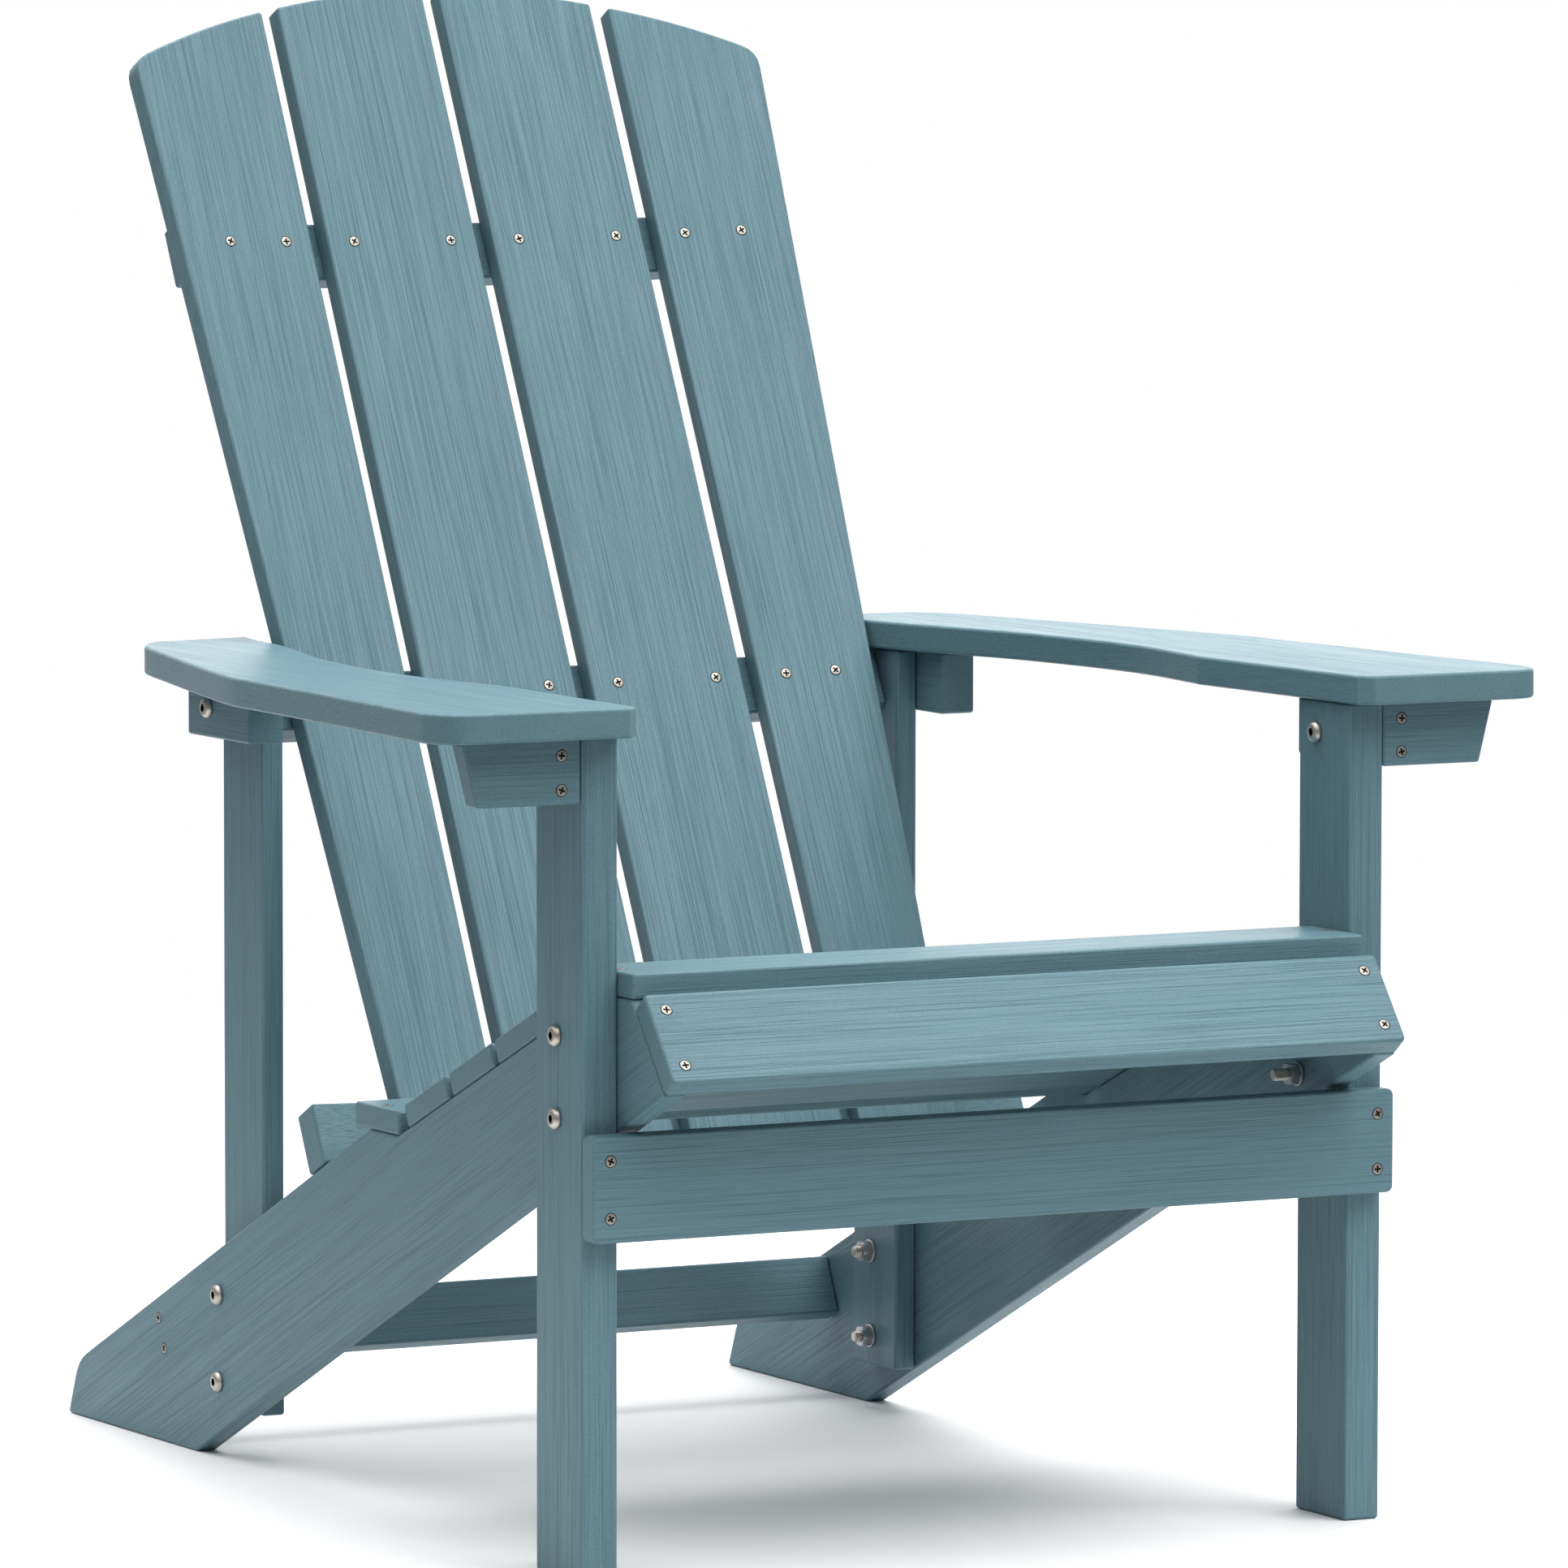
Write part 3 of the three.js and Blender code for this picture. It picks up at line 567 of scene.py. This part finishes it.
def bolt_mesh(node, at, direction, length):
    """Threaded shank and domed head with a hexagon socket; also which faces are the socket's.

    The thread's radius is the shank's less depth * (1 - cos w) / 2, where w turns once per pitch
    and once round the shank. The dome's radius falls as (1 - cos t) to the power 0.85 while its
    height rises as sin t, for t from 0 to 90 degrees.
    """
    around = 48
    angle = np.linspace(0, 2 * math.pi, around, endpoint=False)
    tip = np.linspace(-length, -length + THREAD_LENGTH, 90)
    wave = (tip[:, None] / THREAD_PITCH + angle[None] / (2 * math.pi)) * 2 * math.pi
    taper = np.clip((tip + length) / TIP_LENGTH, 0, 1)[:, None]
    thread = SHANK_R - THREAD_DEPTH * (0.5 - 0.5 * np.cos(wave)) - TIP_CUT * (1 - taper)
    t = np.linspace(0, 1, 9) * math.pi / 2
    dome_r = HEAD_R - (HEAD_R - DOME_TOP_R) * (1 - np.cos(t)) ** 0.85
    dome_z = HEAD_WALL + (HEAD_H - HEAD_WALL) * np.sin(t)
    socket = SOCKET_HALF * hexagon(angle)
    circles = np.concatenate([[SHANK_R, SHANK_R, HEAD_R - HEAD_EDGE, HEAD_R], dome_r])
    circle_z = np.concatenate([[-length + SHANK_START, 0, 0, HEAD_EDGE], dome_z])
    walls = [socket * 1.04, socket, socket * 0.98, socket * 0.3]
    radius = np.concatenate([thread, np.repeat(circles[:, None], around, 1), walls])
    deep = HEAD_H - np.array([0, 0.2 * mm, SOCKET_DEPTH, SOCKET_END])
    points, faces = ringed_mesh(radius, np.concatenate([tip, circle_z, deep]))
    mesh = bpy.data.meshes.new(f"{node}_turned")
    mesh.from_pydata(placed(points, at, direction).tolist(), [], faces)
    # faces marked 1 take the nearly black steel: painted shade in the hexagon socket
    finish = np.zeros(len(faces), dtype=int)
    finish[(len(radius) - 3) * around:] = 1
    finish[-2] = 0  # the cap over the tip comes before the socket's floor
    return mesh, finish


print("bolt head:", HEAD_R / mm, "mm radius,", HEAD_H / mm, "mm high")

# %% [markdown]
# The nut and its washer are one stack as well: out along the washer, up the nut, and back down
# the bore. The last ring joins the first, so there are no end faces.

# %% Nuts and washers
NUT_HALF = 6.5 * mm
BORE_R = 4.1 * mm
WASHER_RINGS = np.array([[4.1, 0], [7.7, 0], [8.0, 0.3], [8.0, 1.3], [7.7, 1.6]]) * mm
NUT_RINGS = np.array([[6.8, 1.6], [7.6, 2.2], [7.6, 7.8], [6.8, 8.4]]) * mm


def nut_mesh(node, at, direction):
    """Washer, then a hexagon nut: at each height the smaller of its hexagon and a cone."""
    around = 72
    angle = np.linspace(0, 2 * math.pi, around, endpoint=False)
    washer = np.repeat(WASHER_RINGS[:, :1], around, 1)
    chamfered = np.minimum(NUT_HALF * hexagon(angle), NUT_RINGS[:, :1])
    bore = np.full((2, around), BORE_R)
    radius = np.concatenate([washer, chamfered, bore])
    height = np.concatenate([WASHER_RINGS[:, 1], NUT_RINGS[:, 1], [NUT_RINGS[-1, 1], 0]])
    points, faces = ringed_mesh(radius, height, closed_ends=False)
    join = [[k, (k + 1) % around] for k in range(around)]
    last = (len(height) - 1) * around
    faces += [[last + a, last + b, b, a] for a, b in join]
    mesh = bpy.data.meshes.new(f"{node}_turned")
    mesh.from_pydata(placed(points, at, direction).tolist(), [], faces)
    return mesh


print("nut:", 2 * NUT_HALF / mm, "mm across its flats")

# %% [markdown]
# Each frame bolt lies along X, and its head is its widest part. Finding the wide end tells which
# way the detailed bolt points, and for a nut the wide end is its washer.

# %% Bolts and nuts in their places


def smooth_by_angle(mesh, degrees=32):
    """Smooth shading that breaks where faces meet at more than an angle."""
    mesh.polygons.foreach_set("use_smooth", np.ones(len(mesh.polygons), dtype=bool))
    mesh.set_sharp_from_angle(angle=math.radians(degrees))
    return mesh


def along_x(node):
    """Middle of a node in Y and Z, its ends in X, and the sign of the end that is wider."""
    points = mesh_points(node)
    low, high = points.min(0), points.max(0)
    middle = (low + high) / 2
    reach = np.linalg.norm(points[:, 1:] - middle[1:], axis=1)
    wide = points[reach > 0.95 * reach.max(), 0].mean()
    return middle, low[0], high[0], np.sign(wide - middle[0])


def make_fastener(node):
    """Detailed bolt or nut in place of the frame's plain one."""
    middle, low, high, wide = along_x(node)
    if node.startswith("bolt"):
        seat = high - HEAD_H if wide > 0 else low + HEAD_H
        place = (seat, middle[1], middle[2])
        mesh, finish = bolt_mesh(node, place, (wide, 0, 0), high - low - HEAD_H)
        piece = keep(smooth_by_angle(mesh), STEEL, "steel", node)
        # second slot: nearly black steel, painted shade in the socket
        mesh.materials.append(RECESS_PAINTED_SHADE)
        mesh.polygons.foreach_set("material_index", finish)
        return piece
    seat = low if wide < 0 else high
    mesh = nut_mesh(node, (seat, middle[1], middle[2]), (-wide, 0, 0))
    return keep(smooth_by_angle(mesh), THREAD, "steel", node)


fasteners = [make_fastener(node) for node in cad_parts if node.startswith(("bolt_", "nut_"))]
print("bolts and nuts:", len(fasteners))

# %% [markdown]
# ## Screws
# Cross-head screws hold the slats and rails. A head is a shallow dome whose middle falls into a
# cross. Seen from above, the cross at angle a has the smaller of two radii: arm length over the
# larger of the sine and cosine, and half the arm's width over the smaller. The heads stand a
# little proud of the board in a ring of painted shadow, and the cross is painted shade.

# %% Screw heads
SCREW_R = 3.5 * mm
CROSS_ARM = 2.25 * mm
CROSS_HALF = 0.62 * mm
RIM_SHARES = np.array([1.16, 1.14, 1.0, 0.98, 0.9])
CROSS_SHARES = (1.04, 1, 0.92, 0.6)
RING_HEIGHTS = np.array([-0.6, 0.05, 0.06, 0.24, 0.34, 0.38, 0.3, 0.09, 0.06]) * mm


def screw_points():
    """Rings of one head, from the rim over the dome and down the cross."""
    around = 48
    angle = np.linspace(0, 2 * math.pi, around, endpoint=False)
    c, s = np.abs(np.cos(angle)), np.abs(np.sin(angle))
    big, small = np.maximum(c, s), np.minimum(c, s) + 1e-6
    cross = np.minimum(CROSS_ARM / big, CROSS_HALF / small)
    rings = np.repeat((RIM_SHARES * SCREW_R)[:, None], around, 1)
    radius = np.concatenate([rings, [cross * share for share in CROSS_SHARES]])
    points, faces = ringed_mesh(radius, RING_HEIGHTS)
    # the outer rim rings and the cross take the nearly black steel: painted shadow round the head,
    # painted shade in the cross
    material = np.zeros(len(faces), dtype=int)
    material[: 2 * around] = 1
    material[len(RIM_SHARES) * around:] = 1
    return points, faces, material


SCREW = screw_points()
print("faces of one screw head:", len(SCREW[1]))

# %% [markdown]
# One piece holds all the screws of a board. The head is copied to each place and turned by a
# random angle, as screws end up when they are driven home.

# %% Screws of one board
screw_counts = {}


def screws(name, places, direction):
    """One piece holding a screw at each place, each turned by its own angle."""
    points, faces, material = SCREW
    places = np.asarray(places, float)
    spin = rng.uniform(0, math.pi / 2, len(places))
    turn = np.array([[np.cos(spin), np.sin(spin)], [-np.sin(spin), np.cos(spin)]]).transpose(2, 0, 1)
    flat = np.einsum("pi,nij->npj", points[:, :2], turn)
    height = np.broadcast_to(points[None, :, 2:], flat.shape[:2] + (1,))
    local = np.concatenate([flat, height], axis=2)
    all_points = placed(local, 0, direction) + places[:, None]
    all_faces = [[k + i * len(points) for k in face] for i in range(len(places)) for face in faces]
    mesh = bpy.data.meshes.new(name)
    mesh.from_pydata(all_points.reshape(-1, 3).tolist(), [], all_faces)
    smooth_by_angle(mesh, 40)
    piece = keep(mesh, SCREW_STEEL, "steel")
    # second slot: nearly black steel, painted shade in the crosses and painted shadow round the heads
    mesh.materials.append(RECESS_PAINTED_SHADE)
    mesh.polygons.foreach_set("material_index", np.tile(material, len(places)))
    screw_counts[name] = len(places)
    return piece


def face_point(node, axes, along, across):
    """Point on a board's face at distances from its middle along and across its grain."""
    local = mesh_points(node) @ np.array(axes).T
    middle = (local.min(0) + local.max(0)) / 2
    level = local[:, 2].max()
    return np.array([middle[0] + along, middle[1] + across, level]) @ np.array(axes)


def screw_rows(node, axes, spots):
    """Screws at (along, across) spots on a board's outer face."""
    places = [face_point(node, axes, along, across) for along, across in spots]
    return screws(f"{node}_screws", places, axes[2])


def half_width(node):
    """Half of a frame node's width in X."""
    low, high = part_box(node)
    return (high[0] - low[0]) / 2


print("half width of the fascia:", round(half_width("fascia") / mm, 1), "mm")

# %% [markdown]
# The fascia and the apron have two screws at each end, each seat slat has one at each end, and
# each arm bracket has two near its inner end, one above the other.

# %% Screws in the front, seat and brackets
FRONT_SCREW_IN = 12.2 * mm
FRONT_SCREW_SPREAD = {"fascia": 20.5 * mm, "apron": 18 * mm}
SEAT_SCREW_IN = 8 * mm
BRACKET_SCREW_IN = 13.5 * mm
BRACKET_SCREW_HEIGHTS = (-11.5 * mm, 10.2 * mm)

for node, spread in FRONT_SCREW_SPREAD.items():
    reach = half_width(node) - FRONT_SCREW_IN
    spots = [(end * reach, row * spread) for end in (-1, 1) for row in (-1, 1)]
    screw_rows(node, STRAIGHT[node], spots)
for number in range(1, 7):
    node = f"seat_slat_{number}"
    reach = half_width(node) - SEAT_SCREW_IN
    screw_rows(node, STRAIGHT[node], [(-reach, 0), (reach, 0)])
for side, sign in (("l", -1), ("r", 1)):
    node = f"arm_bracket_{side}"
    inner = -sign * (half_width(node) - BRACKET_SCREW_IN)
    screw_rows(node, SHAPED[node], [(inner, height) for height in BRACKET_SCREW_HEIGHTS])
print("screws in the front, seat and brackets:", sum(screw_counts.values()))

# %% [markdown]
# Each back slat is held by two screws at each of the three rails. The distances are measured
# from the chair's middle plane, first for the two middle slats and then for the outer two.

# %% Screws in the back
RAIL_SCREWS = {
    "upper_back_cleat": ((26.0, 100.0), (152.3, 195.0)),
    "mid_back_rail": ((26.2, 100.0), (152.9, 190.0)),
    "lower_back_rail": ((25.0, 85.0), (125.0, 180.0)),
}


def slat_screws(slat, number):
    """Two screws through a back slat into each rail, at distances from the chair's middle plane.

    On the slat's turned face x = across * across_x + level * facing_x, solved for across.
    """
    axes = np.array(SHAPED[slat])
    level = (mesh_points(slat) @ axes[2]).max()
    side = 1 if number > 2 else -1
    places = []
    for rail, pairs in RAIL_SCREWS.items():
        low, high = (np.array(corner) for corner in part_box(rail))
        height = UP_BACK @ ((low + high) / 2)
        for distance in pairs[number in (1, 4)]:
            across = (side * distance * mm - level * axes[2][0]) / axes[1][0]
            places.append(np.array([height, across, level]) @ axes)
    return screws(f"{slat}_screws", places, axes[2])


for number in range(1, 5):
    slat_screws(f"back_slat_{number}", number)
print("screws so far:", sum(screw_counts.values()))

# %% [markdown]
# The rear stretcher sits between the stringers and is screwed through them from outside, with
# two screws on each side in line with its face.

# %% Screws through the stringers into the stretcher
STRETCHER_SCREW_RISE = 10.8 * mm
stretcher_low, stretcher_high = (np.array(c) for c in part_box("rear_stretcher"))
stretcher_mid = (stretcher_low + stretcher_high) / 2
rise = STRAIGHT["rear_stretcher"][1] * STRETCHER_SCREW_RISE
for side, sign in (("l", -1), ("r", 1)):
    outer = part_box(f"stringer_{side}")[1 if sign > 0 else 0][0]
    places = [np.array([outer, *(stretcher_mid + s * rise)[1:]]) for s in (-1, 1)]
    screws(f"stretcher_screws_{side}", places, (sign, 0, 0))
print("screws:", sum(screw_counts.values()))

# %% [markdown]
# ## Floor and light
# A plain pale floor in a room that is brightest overhead and behind the chair, with a large soft
# light high on the right, so that upward faces are the palest and the left sides stay darker.


# %% Floor
FLOOR_PALE = (0.80, 0.80, 0.802, 1)
FLOOR_DIM = (0.20, 0.20, 0.202, 1)
FLOOR_HALF = 60
FLOOR_DROP = 0.0002
STRIP_EDGE = (0.62, 1.2)
STRIP_WIDENING = 0.1
FRONT_FADE = (-0.7, -1.4)
GLOW_FADE = (1.2, 2.8)


def make_floor():
    """Large pale sheet just under the feet, turned to face the camera.

    Behind the chair it fades into glowing white. To both sides of the widening strip that the
    camera sees, and in front, it is dimmer, so that the sides of the legs reflect less light.
    """
    square = np.array([[-1, -1, 0], [1, -1, 0], [1, 1, 0], [-1, 1, 0]])
    mesh = bpy.data.meshes.new("floor")
    mesh.from_pydata((square * FLOOR_HALF).tolist(), [], [(0, 1, 2, 3)])
    floor = bpy.data.objects.new("floor", mesh)
    floor.location.z = -FLOOR_DROP
    floor.rotation_euler.z = math.radians(-CAMERA_YAW)
    bpy.context.scene.collection.objects.link(floor)
    material, tree = node_tree("pale_floor")
    parts = add_node(tree, "ShaderNodeSeparateXYZ")
    tree.links.new(add_node(tree, "ShaderNodeTexCoord").outputs["Object"], parts.inputs[0])
    aside = combine(tree, "ABSOLUTE", parts.outputs["X"], 0)
    depth = parts.outputs["Y"]
    behind = ramp(tree, depth, 0, FLOOR_HALF, 0, FLOOR_HALF)
    widening = combine(tree, "MULTIPLY", behind, -STRIP_WIDENING)
    outside = ramp(tree, combine(tree, "ADD", aside, widening), *STRIP_EDGE)
    outside = combine(tree, "MAXIMUM", outside, ramp(tree, depth, *FRONT_FADE))
    shader = add_node(tree, "ShaderNodeBsdfPrincipled", roughness=0.7)
    tree.links.new(mix_colour(tree, outside, FLOOR_PALE, FLOOR_DIM), shader.inputs["Base Color"])
    glow = add_node(tree, "ShaderNodeEmission", strength=1.0)
    blend = add_node(tree, "ShaderNodeMixShader")
    inside = combine(tree, "SUBTRACT", 1.0, outside)
    glowing = combine(tree, "MULTIPLY", inside, ramp(tree, depth, *GLOW_FADE))
    tree.links.new(glowing, blend.inputs[0])
    tree.links.new(shader.outputs[0], blend.inputs[1])
    tree.links.new(glow.outputs[0], blend.inputs[2])
    output = add_node(tree, "ShaderNodeOutputMaterial")
    tree.links.new(blend.outputs[0], output.inputs["Surface"])
    mesh.materials.append(material)
    return floor


floor = make_floor()
print("floor:", 2 * FLOOR_HALF, "m square")

# %% [markdown]
# Two square lamps give the soft shade, and the room itself fills it in. The room is brightest
# straight up and behind the chair, and dim near the horizon elsewhere.


# %% Lights
def soft_light(name, at, aim, size, watts):
    """Square area light at a place, facing a point."""
    data = bpy.data.lights.new(name, "AREA")
    data.shape = "SQUARE"
    data.size = size
    data.energy = watts
    light = bpy.data.objects.new(name, data)
    light.location = at
    away = np.array(at) - np.array(aim)
    yaw = math.atan2(away[1], away[0])
    tilt = math.atan2(math.hypot(away[0], away[1]), away[2])
    light.rotation_euler = (0, tilt, yaw)
    bpy.context.scene.collection.objects.link(light)
    return light


SKY_LOW = 0.2
SKY_RISE = 3.6
SKY_POWER = 3.0
BACKDROP = 2.2
BACKDROP_POWER = 6.0


def make_sky():
    """Room light whose strength depends on the direction.

    It is low + rise * z cubed, z being the height of the direction, plus a broad bright backdrop
    behind the chair: the sixth power of the cosine of the angle to the camera's heading.
    """
    world = bpy.data.worlds.new("bright_room")
    world.use_nodes = True
    tree = world.node_tree
    direction = add_node(tree, "ShaderNodeTexCoord").outputs["Generated"]
    parts = add_node(tree, "ShaderNodeSeparateXYZ")
    tree.links.new(direction, parts.inputs[0])
    cubed = combine(tree, "POWER", ramp(tree, parts.outputs["Z"], 0, 1), SKY_POWER)
    ahead = add_node(tree, "ShaderNodeVectorMath", operation="DOT_PRODUCT")
    tree.links.new(direction, ahead.inputs[0])
    yaw = math.radians(CAMERA_YAW)
    ahead.inputs[1].default_value = (math.sin(yaw), math.cos(yaw), 0)
    lobe = combine(tree, "POWER", ramp(tree, ahead.outputs["Value"], 0, 1), BACKDROP_POWER)
    strength = combine(tree, "ADD", combine(tree, "MULTIPLY", cubed, SKY_RISE), SKY_LOW)
    strength = combine(tree, "ADD", strength, combine(tree, "MULTIPLY", lobe, BACKDROP))
    tree.links.new(strength, tree.nodes["Background"].inputs["Strength"])
    tree.nodes["Background"].inputs["Color"].default_value = (1, 1, 1, 1)
    return world


bpy.context.scene.world = make_sky()
bpy.context.scene.view_settings.view_transform = "Standard"
lights = [
    soft_light("overhead", at=(0.3, 0.6, 3.6), aim=(0, 0, 0.3), size=2.4, watts=50),
    soft_light("front_right", at=(2.0, -3.2, 4.2), aim=(0, 0, 0.4), size=3.4, watts=135),
]
print("lights:", len(lights))
